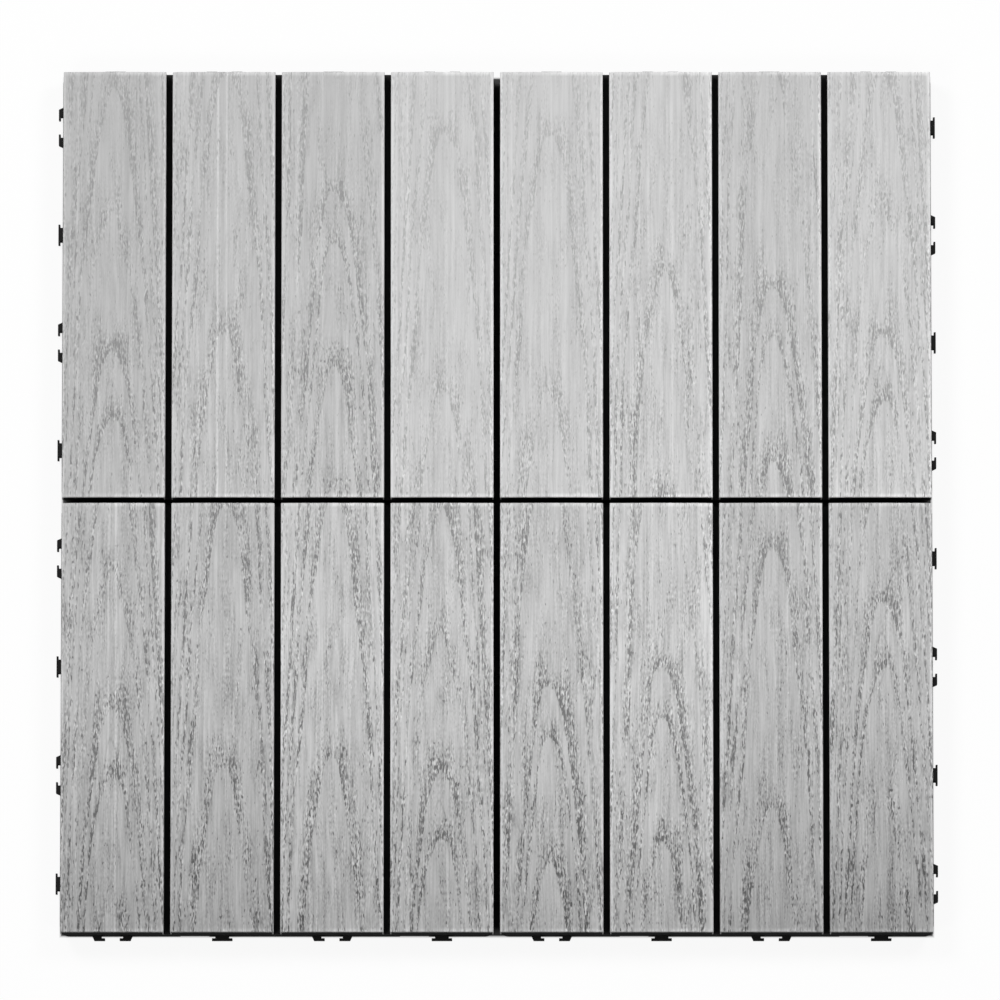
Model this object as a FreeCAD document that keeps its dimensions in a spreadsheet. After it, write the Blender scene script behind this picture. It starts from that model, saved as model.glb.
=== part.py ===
"""Interlocking deck tile: sixteen composite slats on four base mouldings that clip together.

The origin is the middle of the footprint, on the ground. X runs across the slats, Y along them and Z up.
Lengths are in millimetres. A formula is written with the names of the driving dimensions.
"""
import FreeCAD, Part
import os
import re

import Sketcher
from FreeCAD import Vector

DRIVING_DIMENSIONS = (
    ("module_size", 304.8, "pitch of the base mouldings, both ways, inside a tile and from tile to tile"),
    ("modules_each_way", 2, "base mouldings along each side of the tile"),
    ("slats_per_module", 4, "slats across one base moulding"),
    ("slat_gap", 4.6, "gap between neighbouring slats of a row"),
    ("row_gap", 3.9, "gap between the ends of two rows"),
    ("slat_thickness", 12.7, "slat height at the middle of its crown"),
    ("slat_crown", 0.7, "how far the crown stands above the slat's long edges"),
    ("slat_edge_radius", 1.3, "rounding of the two long upper edges"),
    ("slat_end_bevel", 0.7, "bevel along the upper edge of each slat end"),
    ("base_height", 12.0, "height of the base moulding, ground to slat"),
    ("frame_corner_radius", 6.5, "rounding of the moulding's four corners"),
    ("rim_wall", 2.6, "wall of the rim round the moulding"),
    ("rib_wall", 2.0, "wall of the ribs that carry the slats"),
    ("rib_lift", 3.0, "water space between the ribs and the ground"),
    ("cross_bays", 6, "bays between the ribs that run across the slats"),
    ("runner_overlap", 0.9, "how far a runner reaches under the slat on each side of its gap"),
    ("runner_wall", 1.6, "side wall of a runner, which is hollow from below"),
    ("runner_roof", 2.2, "upper wall of a runner"),
    ("drain_width", 20.0, "width of a drain notch under the rim"),
    ("hook_head_width", 14.2, "width of the hook's head"),
    ("hook_neck_width", 9.6, "width of the hook's neck"),
    ("hook_head_thickness", 1.35, "thickness of the hook's head"),
    ("lip_thickness", 1.35, "thickness of the socket lips that the head catches behind"),
    ("lug_wall", 5.1, "side wall of a socket lug"),
    ("lug_slant", 1.5, "how much wider a lug is where it meets the rim"),
    ("catch_clearance", 0.2, "play between the hook's head and the socket lips"),
    ("side_clearance", 0.3, "play between hook and socket on each side"),
    ("tip_clearance", 0.35, "play between a connector's tip and the next moulding's rim"),
    ("connector_lift", 0.8, "height of the connectors' lower faces above the ground"),
    ("connector_drop", 5.2, "depth of the connectors' upper faces below the slats"),
    ("boss_size", 12.4, "side of the square screw bosses"),
    ("boss_seat", 3.5, "thickness of the boss under the slat, which the screw clamps"),
    ("head_clearance", 0.5, "play round the screw's head in its recess"),
    ("screw_head_diameter", 7.6, "diameter of the screw's head"),
    ("screw_head_height", 2.4, "height of the screw's head"),
    ("screw_diameter", 3.6, "diameter of the screw's shank"),
    ("screw_grip", 8.5, "length of the screw inside the slat"),
    ("shank_clearance", 0.4, "play round the shank in the boss"),
    ("pilot_clearance", 0.1, "play round the shank in the slat's pilot hole"),
    ("pilot_spare", 0.5, "depth of the pilot hole past the screw's tip"),
)

SLAT_PITCH = "(module_size / slats_per_module)"
SLAT_WIDTH = f"({SLAT_PITCH} - slat_gap)"
SLAT_LENGTH = "(module_size - row_gap)"
SHOULDER_HEIGHT = "(slat_thickness - slat_crown)"
CROSS_PITCH = "(module_size / cross_bays)"
FRAME_GAP = "(2 * tip_clearance + hook_head_thickness + catch_clearance + lip_thickness)"
FRAME_SIZE = f"(module_size - {FRAME_GAP})"
FRAME_INSIDE = f"({FRAME_SIZE} - 2 * rim_wall)"
RIB_LENGTH = f"({FRAME_SIZE} - rim_wall)"
RIB_HEIGHT = "(base_height - rib_lift)"
RUNNER_WIDTH = "(slat_gap + 2 * runner_overlap)"
RUNNER_GROOVE_WIDTH = f"({RUNNER_WIDTH} - 2 * runner_wall)"
CONNECTOR_REACH = f"({FRAME_GAP} - tip_clearance)"
CONNECTOR_HEIGHT = "(base_height - connector_lift - connector_drop)"
SOCKET_HALF_SLOT = "(hook_neck_width / 2 + side_clearance)"
SOCKET_HALF_INSIDE = "(hook_head_width / 2 + side_clearance)"
SOCKET_HALF_OUTSIDE = f"({SOCKET_HALF_INSIDE} + lug_wall)"
BOSS_RECESS = "(screw_head_diameter + 2 * head_clearance)"
SEAT_HEIGHT = "(base_height - boss_seat)"
SCREW_ROW = f"(2 * {CROSS_PITCH})"
SHANK_SIDES = 6
HEAD_SIDES = 8

ALIASES = {alias for alias, value, note in DRIVING_DIMENSIONS}
ROW_NAMES = ("front", "back")
SIDE_NAMES = ("left", "right")

doc = FreeCAD.newDocument("deck_tile")
sheet = doc.addObject("Spreadsheet::Sheet", "Dims")


def fill_sheet():
    """Write each driving dimension to the sheet: its name, its value and what it is."""
    for row, (alias, value, note) in enumerate(DRIVING_DIMENSIONS, start=1):
        sheet.set(f"A{row}", alias)
        sheet.set(f"B{row}", str(value))
        sheet.set(f"C{row}", note)
        sheet.setAlias(f"B{row}", alias)
    doc.recompute()


def formula(text):
    """Point each dimension's name in a formula at its cell in the sheet."""
    def in_sheet(found):
        word = found.group()
        return f"Dims.{word}" if word in ALIASES else word

    return re.sub(r"[a-z_]+", in_sheet, text)


def value_of(text):
    """The present value of a formula."""
    return float(sheet.evalExpression(formula(text)))


def bind(item, **formulas):
    """Bind properties of an object to formulas. Two underscores in a name stand for a dot."""
    for name, text in formulas.items():
        item.setExpression(name.replace("__", "."), formula(text))


def origin_feature(body, role):
    """One of the body's own origin planes or axes."""
    return next(feature for feature in body.Origin.OriginFeatures if feature.Role == role)


def new_body(name):
    """An empty body with its name as its label."""
    body = doc.addObject("PartDesign::Body", name)
    body.Label = name
    return body


def new_sketch(body, name, plane="XY_Plane", lift="0"):
    """A sketch on one of the body's origin planes, lifted along the plane's normal."""
    sketch = body.newObject("Sketcher::SketchObject", name)
    sketch.AttachmentSupport = [(origin_feature(body, plane), "")]
    sketch.MapMode = "FlatFace"
    bind(sketch, AttachmentOffset__Base__z=lift)
    return sketch


def draw_outline(sketch, corners):
    """Draw a closed outline of straight edges, with each corner held by two formulas."""
    first = sketch.GeometryCount
    places = [Vector(value_of(x), value_of(y), 0) for x, y in corners]
    for start, end in zip(places, places[1:] + places[:1]):
        sketch.addGeometry(Part.LineSegment(start, end))
    for number in range(len(corners)):
        following = first + (number + 1) % len(corners)
        sketch.addConstraint(Sketcher.Constraint("Coincident", first + number, 2, following, 1))
    for number, corner in enumerate(corners):
        hold_point(sketch, first + number, 1, corner)


def hold_point(sketch, edge, end, corner):
    """Hold one end of an edge at a place given by two formulas."""
    for kind, text in zip(("DistanceX", "DistanceY"), corner):
        index = sketch.addConstraint(Sketcher.Constraint(kind, -1, 1, edge, end, value_of(text)))
        name = f"{kind}_{edge}_{end}"
        sketch.renameConstraint(index, name)
        sketch.setExpression(f"Constraints.{name}", formula(text))


def draw_rectangle(sketch, centre, width, height):
    """Draw a rectangle round a centre, all by formulas."""
    x, y = centre
    left, right = f"{x} - {width} / 2", f"{x} + {width} / 2"
    low, high = f"{y} - {height} / 2", f"{y} + {height} / 2"
    draw_outline(sketch, [(left, low), (right, low), (right, high), (left, high)])


def draw_polygon(sketch, centre, across_corners, sides):
    """Draw a regular polygon round a centre, with its size across corners given by a formula."""
    x, y = centre
    radius = f"{across_corners} / 2"
    corners = []
    for number in range(sides):
        turn = f"{360 * number / sides} deg"
        corners.append((f"{x} + {radius} * cos({turn})", f"{y} + {radius} * sin({turn})"))
    draw_outline(sketch, corners)


def pad(body, name, sketch, length):
    """Add the sketch's shape upwards."""
    feature = body.newObject("PartDesign::Pad", name)
    feature.Profile = sketch
    feature.Refine = False
    bind(feature, Length=length)
    return feature


def pocket_up(body, name, sketch, depth):
    """Cut the sketch's shape upwards, from below."""
    feature = body.newObject("PartDesign::Pocket", name)
    feature.Profile = sketch
    feature.Reversed = True
    feature.Refine = False
    bind(feature, Length=depth)
    return feature


def repeat_along(body, name, original, axis, count, pitch):
    """Repeat a feature along one of the body's axes, evenly spaced about where the first one stands."""
    pattern = body.newObject("PartDesign::LinearPattern", name)
    pattern.Originals = [original]
    pattern.Refine = False
    pattern.Direction = (origin_feature(body, axis), [""])
    pattern.Occurrences = round(value_of(count))
    bind(pattern, Occurrences=count, Length=f"({count} - 1) * {pitch}")
    body.Tip = pattern
    return pattern


def first_of(count, pitch):
    """Where the first of an evenly spaced row stands, when the row is centred on zero."""
    return f"(-({count} - 1) * {pitch} / 2)"


def edge_names(feature, wanted):
    """The names of the feature's edges that pass a test."""
    edges = enumerate(feature.Shape.Edges, start=1)
    return [f"Edge{number}" for number, edge in edges if wanted(edge)]


def is_upright(edge):
    """Whether a straight edge runs along Z."""
    box = edge.BoundBox
    return box.XLength < 1e-6 and box.YLength < 1e-6


def make_slat_board():
    """One slat, centred over its footprint: crowned, rounded along its sides and bevelled at its ends."""
    body = new_body("slat_board")
    board = pad(body, "slat_length_pad", draw_slat_section(body), SLAT_LENGTH)
    board.Midplane = True
    doc.recompute()
    shoulder = value_of(SHOULDER_HEIGHT)

    def is_long_shoulder(edge):
        box = edge.BoundBox
        return box.YLength > 1 and abs(box.ZMin - shoulder) < 1e-4 and abs(box.ZMax - shoulder) < 1e-4

    rounding = body.newObject("PartDesign::Fillet", "slat_edge_rounding")
    rounding.Base = (board, edge_names(board, is_long_shoulder))
    bind(rounding, Radius="slat_edge_radius")
    bevel_section = new_sketch(body, "slat_end_bevel_section", "YZ_Plane")
    end_y, end_z = f"{SLAT_LENGTH} / 2", f"{SHOULDER_HEIGHT} - slat_end_bevel"
    over_y, over_z = f"{end_y} + slat_thickness", "2 * slat_thickness"
    slope_y = f"{end_y} - ({over_z} - ({end_z}))"
    draw_outline(bevel_section, [(over_y, f"{end_z} - slat_thickness"), (over_y, over_z), (slope_y, over_z)])
    bevel = body.newObject("PartDesign::Pocket", "slat_end_bevel_cut")
    bevel.Profile = bevel_section
    bevel.Midplane = True
    bind(bevel, Length="2 * module_size")
    other_end = body.newObject("PartDesign::Mirrored", "slat_other_end_bevel_cut")
    other_end.Originals = [bevel]
    other_end.MirrorPlane = (origin_feature(body, "XZ_Plane"), [""])
    body.Tip = other_end
    holes = new_sketch(body, "pilot_hole_plan")
    hole_size = "(screw_diameter + 2 * pilot_clearance)"
    for y in (f"-{SCREW_ROW}", SCREW_ROW):
        draw_polygon(holes, ("0", y), hole_size, SHANK_SIDES)
    pocket_up(body, "pilot_holes", holes, "screw_grip + pilot_spare")
    return body


def draw_slat_section(body):
    """The slat's section: a flat foot, upright sides and a shallow arc for the crown."""
    section = new_sketch(body, "slat_section", "XZ_Plane")
    corners = [
        (f"-{SLAT_WIDTH} / 2", SHOULDER_HEIGHT), (f"-{SLAT_WIDTH} / 2", "0"),
        (f"{SLAT_WIDTH} / 2", "0"), (f"{SLAT_WIDTH} / 2", SHOULDER_HEIGHT),
    ]
    places = [Vector(value_of(x), value_of(z), 0) for x, z in corners]
    crest = Vector(0, value_of("slat_thickness"), 0)
    for start, end in zip(places, places[1:]):
        section.addGeometry(Part.LineSegment(start, end))
    crown = section.addGeometry(Part.Arc(places[3], crest, places[0]))
    for edge in range(2):
        section.addConstraint(Sketcher.Constraint("Coincident", edge, 2, edge + 1, 1))
    section.addConstraint(Sketcher.Constraint("Coincident", 2, 2, crown, 1))
    section.addConstraint(Sketcher.Constraint("Coincident", crown, 2, 0, 1))
    for edge, corner in enumerate(corners[:3]):
        hold_point(section, edge, 1, corner)
    hold_point(section, 2, 2, corners[3])
    radius = f"((({SLAT_WIDTH} / 2)^2 + slat_crown^2) / (2 * slat_crown))"
    index = section.addConstraint(Sketcher.Constraint("Radius", crown, value_of(radius)))
    section.renameConstraint(index, "crown_radius")
    section.setExpression("Constraints.crown_radius", formula(radius))
    return section


def make_base_moulding():
    """One base moulding, centred over its footprint: rim, connectors, ribs, runners and bosses."""
    body = new_body("base_moulding")
    block_outline = new_sketch(body, "frame_outline")
    draw_rectangle(block_outline, ("0", "0"), FRAME_SIZE, FRAME_SIZE)
    block = pad(body, "frame_block", block_outline, "base_height")
    doc.recompute()
    corners = body.newObject("PartDesign::Fillet", "frame_corners")
    corners.Base = (block, edge_names(block, is_upright))
    bind(corners, Radius="frame_corner_radius")
    inside = new_sketch(body, "rim_inside")
    draw_rectangle(inside, ("0", "0"), FRAME_INSIDE, FRAME_INSIDE)
    pocket_up(body, "rim_opening", inside, "base_height")
    add_edge_details(body)
    add_ribs(body)
    add_runners(body)
    add_bosses(body)
    return body


def add_ribs(body):
    """Ribs under the slats' middles, and cross ribs in evenly spaced bays."""
    middle = new_sketch(body, "middle_rib_plan", lift="rib_lift")
    draw_rectangle(middle, (first_of("slats_per_module", SLAT_PITCH), "0"), "rib_wall", RIB_LENGTH)
    first_rib = pad(body, "middle_rib", middle, RIB_HEIGHT)
    repeat_along(body, "middle_ribs", first_rib, "X_Axis", "slats_per_module", SLAT_PITCH)
    cross = new_sketch(body, "cross_rib_plan", lift="rib_lift")
    draw_rectangle(cross, ("0", first_of("(cross_bays - 1)", CROSS_PITCH)), RIB_LENGTH, "rib_wall")
    first_cross = pad(body, "cross_rib", cross, RIB_HEIGHT)
    repeat_along(body, "cross_ribs", first_cross, "Y_Axis", "(cross_bays - 1)", CROSS_PITCH)


def add_runners(body):
    """Runners under the slat gaps: they stand on the ground, and are hollow from below."""
    runners = "(slats_per_module - 1)"
    plan = new_sketch(body, "runner_plan")
    groove = new_sketch(body, "runner_groove_plan")
    for number in range(round(value_of(runners))):
        centre = (f"{first_of(runners, SLAT_PITCH)} + {number} * {SLAT_PITCH}", "0")
        draw_rectangle(plan, centre, RUNNER_WIDTH, RIB_LENGTH)
        draw_rectangle(groove, centre, RUNNER_GROOVE_WIDTH, FRAME_INSIDE)
    pad(body, "runners", plan, "base_height")
    pocket_up(body, "runner_grooves", groove, "base_height - runner_roof")


def add_bosses(body):
    """Screw bosses where a middle rib crosses the second cross rib: a recess from below, then a hole."""
    plan = new_sketch(body, "boss_plan", lift="rib_lift")
    recess = new_sketch(body, "boss_recess_plan", lift="rib_lift")
    hole = new_sketch(body, "boss_hole_plan", lift="rib_lift")
    for number in range(round(value_of("slats_per_module"))):
        x = f"{first_of('slats_per_module', SLAT_PITCH)} + {number} * {SLAT_PITCH}"
        for centre in ((x, f"-{SCREW_ROW}"), (x, SCREW_ROW)):
            draw_rectangle(plan, centre, "boss_size", "boss_size")
            draw_rectangle(recess, centre, BOSS_RECESS, BOSS_RECESS)
            draw_polygon(hole, centre, "(screw_diameter + 2 * shank_clearance)", SHANK_SIDES)
    pad(body, "bosses", plan, RIB_HEIGHT)
    pocket_up(body, "boss_recesses", recess, f"{SEAT_HEIGHT} - rib_lift")
    last_cut = pocket_up(body, "boss_holes", hole, RIB_HEIGHT)
    last_cut.Refine = True


def add_edge_details(body):
    """A hook, a socket and a drain notch on the front edge, repeated along it and then on all four edges."""
    rim_face = f"(-{FRAME_SIZE} / 2)"
    root = f"{rim_face} + rim_wall / 2"
    tip = f"{rim_face} - {CONNECTOR_REACH}"
    hook_x = f"(-{SLAT_PITCH} / 2)"
    socket_x = f"(-{SLAT_PITCH} * 3 / 2)"
    drain_x = f"{hook_x} - {SLAT_PITCH} / 4"

    hook_plan = new_sketch(body, "hook_plan", lift="connector_lift")
    head_back = f"{tip} + hook_head_thickness"
    neck_left, neck_right = f"{hook_x} - hook_neck_width / 2", f"{hook_x} + hook_neck_width / 2"
    head_left, head_right = f"{hook_x} - hook_head_width / 2", f"{hook_x} + hook_head_width / 2"
    draw_outline(hook_plan, [
        (neck_left, root), (neck_left, head_back), (head_left, head_back), (head_left, tip),
        (head_right, tip), (head_right, head_back), (neck_right, head_back), (neck_right, root),
    ])
    hook = pad(body, "hook", hook_plan, CONNECTOR_HEIGHT)

    socket_plan = new_sketch(body, "socket_plan", lift="connector_lift")
    lip_back = f"{tip} + lip_thickness"
    for side in ("-", "+"):
        slot = f"{socket_x} {side} {SOCKET_HALF_SLOT}"
        pocket_side = f"{socket_x} {side} {SOCKET_HALF_INSIDE}"
        outer = f"{socket_x} {side} {SOCKET_HALF_OUTSIDE}"
        outer_root = f"{socket_x} {side} ({SOCKET_HALF_OUTSIDE} + lug_slant)"
        draw_outline(socket_plan, [
            (slot, tip), (outer, tip), (outer_root, rim_face), (outer_root, root),
            (pocket_side, root), (pocket_side, lip_back), (slot, lip_back),
        ])
    socket = pad(body, "socket", socket_plan, CONNECTOR_HEIGHT)

    drain_plan = new_sketch(body, "drain_plan")
    draw_rectangle(drain_plan, (drain_x, rim_face), "drain_width", "3 * rim_wall")
    drain = pocket_up(body, "drain_notch", drain_plan, "rib_lift")

    along_edge = doc.addObject("PartDesign::LinearPattern", "pairs_along_edge")
    along_edge.Direction = (origin_feature(body, "X_Axis"), [""])
    pairs = "(slats_per_module / 2)"
    bind(along_edge, Occurrences=pairs, Length=f"({pairs} - 1) * 2 * {SLAT_PITCH}")
    four_edges = doc.addObject("PartDesign::PolarPattern", "four_edges")
    four_edges.Axis = (origin_feature(body, "Z_Axis"), [""])
    four_edges.Angle = 360
    four_edges.Occurrences = 4
    edges = body.newObject("PartDesign::MultiTransform", "edge_details")
    edges.Originals = [hook, socket, drain]
    edges.Transformations = [along_edge, four_edges]
    body.addObject(along_edge)
    body.addObject(four_edges)
    body.Tip = edges


def place_copy(master, name, x, y, z="0"):
    """A sub-part of its own that takes its form from a master body, standing at its place in the tile."""
    body = new_body(name)
    body.BaseFeature = master
    bind(body, Placement__Base__x=x, Placement__Base__y=y, Placement__Base__z=z)
    return body


def place_slats(board):
    """All slats of the tile, row by row from the front, numbered from the left."""
    count = round(value_of("modules_each_way * slats_per_module"))
    first_x = first_of("(modules_each_way * slats_per_module)", SLAT_PITCH)
    first_y = first_of("modules_each_way", "module_size")
    return [
        place_copy(
            board, f"slat_{row_name}_{column + 1}",
            f"{first_x} + {column} * {SLAT_PITCH}", f"{first_y} + {row} * module_size", "base_height",
        )
        for row, row_name in enumerate(ROW_NAMES)
        for column in range(count)
    ]


def place_bases(moulding):
    """The four base mouldings."""
    first = first_of("modules_each_way", "module_size")
    return [
        place_copy(
            moulding, f"base_{row_name}_{side_name}",
            f"{first} + {side} * module_size", f"{first} + {row} * module_size",
        )
        for row, row_name in enumerate(ROW_NAMES)
        for side, side_name in enumerate(SIDE_NAMES)
    ]


def make_screws():
    """All slat screws, heads down in their bosses, as one group of separate solids."""
    body = new_body("slat_screws")
    head_plan = new_sketch(body, "screw_head_plan", lift=f"{SEAT_HEIGHT} - screw_head_height")
    draw_polygon(head_plan, ("0", "0"), "screw_head_diameter", HEAD_SIDES)
    head = pad(body, "screw_head", head_plan, "screw_head_height")
    shank_plan = new_sketch(body, "screw_shank_plan", lift=SEAT_HEIGHT)
    draw_polygon(shank_plan, ("0", "0"), "screw_diameter", SHANK_SIDES)
    shank = pad(body, "screw_shank", shank_plan, "boss_seat + screw_grip")
    runs = (
        ("screw_columns", "X_Axis", "(modules_each_way * slats_per_module)", SLAT_PITCH),
        ("screws_of_slat", "Y_Axis", "2", f"(2 * {SCREW_ROW})"),
        ("screw_rows", "Y_Axis", "modules_each_way", "module_size"),
    )
    patterns = []
    for name, axis, count, pitch in runs:
        pattern = doc.addObject("PartDesign::LinearPattern", name)
        pattern.Direction = (origin_feature(body, axis), [""])
        bind(pattern, Occurrences=count, Length=f"({count} - 1) * {pitch}")
        patterns.append(pattern)
    group = body.newObject("PartDesign::MultiTransform", "all_screws")
    group.Originals = [head, shank]
    group.Transformations = patterns
    for pattern in patterns:
        body.addObject(pattern)
    body.Tip = group
    bind(
        body,
        Placement__Base__x=first_of("(modules_each_way * slats_per_module)", SLAT_PITCH),
        Placement__Base__y=f"{first_of('modules_each_way', 'module_size')} - {SCREW_ROW}",
    )
    return body


def check_document():
    """Stop if any object failed to compute."""
    for item in doc.Objects:
        if "Invalid" in item.State or "Error" in item.State:
            raise RuntimeError(f"{item.Label} failed: {item.State}")


def write_parts(parts):
    """Check each sub-part's shape and write it to a file of its own."""
    os.makedirs("parts", exist_ok=True)
    for part in parts:
        if part.Shape.isNull() or not part.Shape.isValid():
            raise RuntimeError(f"{part.Label} has no valid shape")
        part.Shape.exportStep(os.path.join("parts", part.Label + ".step"))


fill_sheet()
slat_board = make_slat_board()
base_moulding = make_base_moulding()
sub_parts = place_slats(slat_board) + place_bases(base_moulding) + [make_screws()]
doc.recompute()
check_document()
write_parts(sub_parts)
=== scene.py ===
"""Looks of an interlocking deck tile: embossed composite slats on black moulded bases, seen from above."""
import math

import bmesh
import bpy
import numpy as np
from mathutils import Matrix, Vector


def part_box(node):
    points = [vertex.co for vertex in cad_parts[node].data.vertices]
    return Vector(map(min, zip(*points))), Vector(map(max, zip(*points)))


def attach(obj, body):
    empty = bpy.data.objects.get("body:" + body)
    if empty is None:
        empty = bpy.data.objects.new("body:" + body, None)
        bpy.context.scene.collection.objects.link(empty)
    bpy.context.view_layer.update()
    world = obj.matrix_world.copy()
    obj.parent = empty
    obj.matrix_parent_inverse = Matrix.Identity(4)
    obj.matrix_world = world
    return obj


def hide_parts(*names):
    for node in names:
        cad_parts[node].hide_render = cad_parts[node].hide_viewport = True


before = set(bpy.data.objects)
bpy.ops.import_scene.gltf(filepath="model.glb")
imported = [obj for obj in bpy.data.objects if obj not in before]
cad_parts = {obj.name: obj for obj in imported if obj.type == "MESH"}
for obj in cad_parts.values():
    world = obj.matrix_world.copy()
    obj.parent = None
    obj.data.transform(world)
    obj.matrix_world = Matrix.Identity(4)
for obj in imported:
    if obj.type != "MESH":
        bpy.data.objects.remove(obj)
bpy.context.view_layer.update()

MM = 0.001

# Sizes read from the frame
SLAT_LOW, SLAT_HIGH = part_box("slat_front_1")
SLAT_WIDTH = SLAT_HIGH.x - SLAT_LOW.x
SLAT_LENGTH = SLAT_HIGH.y - SLAT_LOW.y
SLAT_FOOT = SLAT_LOW.z
SLAT_TOP = SLAT_HIGH.z
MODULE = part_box("base_front_right")[0].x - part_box("base_front_left")[0].x
SLAT_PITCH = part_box("slat_front_2")[0].x - SLAT_LOW.x
SCREW_LOW, SCREW_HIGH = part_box("slat_screws")

# Slat form
SLAT_CROWN = 0.7 * MM
SLAT_EDGE_RADIUS = 0.9 * MM
SLAT_END_BEVEL = 0.5 * MM
# The mesh of a slat's top: columns across it, rows along it, how many columns share each rounded edge, and
# where the last rows stand from the slat's end, in millimetres
SLAT_COLUMNS = 188
SLAT_ROWS = 138
EDGE_STEPS = 4
END_STEPS = (0.0, 0.25, 0.5, 1.0)
# Faces that meet at less than this angle are shaded smooth
SMOOTH_BELOW = math.radians(42)
PILOT_RADIUS = 1.9 * MM
PILOT_DEPTH = 9.0 * MM
PILOT_SIDES = 12
# The two rows of screws under a slat stand this far from its middle
SCREW_ROW = MODULE / 3

# The embossing roll: where each growth ring begins, in millimetres down the roll
RING_STARTS = (0, 183, 335, 380, 465, 553, 640, 688, 790, 880)
ROLL_LENGTH = 973
ROLL_SEED = 41
# A ring crosses the slat as an arch, whose two legs fall by these times the squared distance from the heart
STEEP_LEFT = 0.35
STEEP_RIGHT = 0.27
# Soft waves in the rings: their height, width and length in millimetres
RING_WAVES = ((13, 17, 75), (5, 6, 24))
# The dark band before a ring's start, in millimetres: its width across a steep leg, and what it gains at the
# top of the arch
BAND_WIDTH = 7.0
BAND_TOP_GAIN = 9
# Short pores open where a soft pattern of this width and length, in millimetres, passes a limit, which is
# lower in a band
PORE_CELL = (0.85, 4.6)
PORE_LIMIT = 0.86
PORE_LIMIT_DROP = 0.95
# Thin pointed lines above the arches: their steepness, the power of their fall, and in millimetres how far
# above they stand and half their width
SPIKE_STEEPNESS = 1.5
SPIKE_POWER = 1.6
SPIKE_HEIGHT = 24
SPIKE_HALF_WIDTH = 0.45
# How deep the roll presses a band and a pore, and how far from a rounded edge the pattern has its full depth
EMBOSS_BAND = 0.10 * MM
EMBOSS_PORE = 0.24 * MM
EMBOSS_FADE = 1.5 * MM

# Grey of each shade of slat, and the share of it that its sides and foot keep, a painted shade that deepens
# down the sides into the gaps
SHADES = {"deep": 0.465, "mid": 0.50, "light": 0.53, "pale": 0.58}
FOOT_SHADE = 0.45
# The pale cap round a slat's core, which the cut ends show nearly black
CAP_THICKNESS = 0.8 * MM
# A painted highlight makes a slat paler along its rim: over this width in millimetres, by this share, and, as
# the light falls, on the right by this much of it more, on the left less
RIM_WIDTH = 1.5
RIM_PALER = 0.28
RIM_RIGHT = 0.3
# It is a little paler towards its sides too, between these places in millimetres from its middle
SIDE_FROM = 20
SIDE_TO = 30
SIDE_PALER = 0.035
# The cap's drawn lines: their places across the slat, how far each may move from there and half its width,
# all in millimetres, and by what shares they darken or lighten the cap
LINE_PLACES = np.arange(-34, 35, 2.2)
LINE_SHIFT = 1.0
LINE_HALF_WIDTHS = (0.35, 0.9)
LINE_TONES = (0.02, 0.075)
# For each slat from the left: millimetres down the roll, shade, grain strength, and how far to the right the
# heart stands, in millimetres
BACK_SLATS = (
    (446, "deep", 1.00, -2.0), (-8, "mid", 1.05, 1.0), (250, "mid", 1.10, 0.0), (-50, "pale", 0.75, 1.0),
    (-52, "pale", 0.80, -2.0), (33, "pale", 1.05, 3.0), (183, "light", 1.05, 1.0), (456, "pale", 1.00, 1.5),
)
FRONT_SLATS = (
    (498, "deep", 0.95, -1.0), (-9, "deep", 1.00, 1.0), (-3, "light", 1.00, 0.0), (455, "light", 0.95, -1.6),
    (206, "light", 1.00, -3.0), (220, "pale", 0.95, -0.5), (-39, "mid", 0.95, 0.5), (573, "mid", 1.00, 1.0),
)
# The grain stands out more towards the tile's front edge, painted light that strengthens its shade and
# highlights
# there: its strength at the back edge and at the front edge
GRAIN_AT_BACK = 0.38
GRAIN_AT_FRONT = 1.34
# The most that the soft streaks, and then the whole grain, darken or lighten a place at strength 1
SOFT_DARKEST = -0.34
SOFT_PALEST = 0.26
GRAIN_DARKEST = -0.60
GRAIN_PALEST = 0.45
# The slats get painted shade towards the tile's front edge, where the light falls off: from this place on, by
# this power of the way, by this share at the edge itself, and by more towards the right
DARK_FROM = -80 * MM
DARK_POWER = 1.5
DARKER_BY = 0.30
DARKER_RIGHT = 0.35

# Slats with a pair of fine pale lines along them: where the lines lie across the slat and half their width,
# in millimetres, and how many times as pale they are
LINED_SLATS = {"slat_back_2": (-4.1, 2.2), "slat_front_1": (-3.2, 2.0)}
PAIR_HALF_WIDTH = 0.6
PAIR_PALER = 1.20

# The streaks on a slat's face: width and length in millimetres, detail, and a shift of the pattern
FACE_STREAKS = {
    "fine": (0.90, 24, 1.5, 0.0),
    "grit": (0.9, 2.6, 0.0, 4.6),
    "broad": (2.0, 120, 3.0, 7.3),
    "soft": (2.6, 38, 1.0, 21.0),
    "dash": (0.80, 4.2, 0.5, 3.1),
    "fleck": (0.9, 3.4, 0.5, 9.4),
    "mottle": (14, 40, 2.0, 1.7),
    "cluster": (7, 46, 2.0, 13.3),
}
# These two stay straight, and the others follow the fibres round the arches
STRAIGHT_STREAKS = ("grit", "mottle")
# How far each kind of streak darkens and lightens the face
FINE_TONE = 0.32
SOFT_TONE = 0.16
GRIT_TONE = 0.32
BROAD_TONE = 0.10
CLUSTER_TONE = 0.10
# What is added between the bands and in them, and what a pore, a dash and a fleck add: a pore and a dash
# darken with grain colour and painted shade in the embossed hollows, and a fleck is a painted highlight on
# their flanks
OFF_BAND_TONE = 0.04
BAND_TONE = -0.16
PORE_TONE = -0.24
DASH_TONE = -0.56
FLANK_HIGHLIGHT_TONE = 0.27
# A dash or a fleck shows where its streak passes from the first value to the second, and by these amounts
# sooner inside a band and inside a cluster
DASH_LIMITS = (0.70, 0.77)
FLANK_HIGHLIGHT_LIMITS = (0.74, 0.81)
SOONER_IN_BAND = 0.27
SOONER_IN_CLUSTER = 0.08


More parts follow.
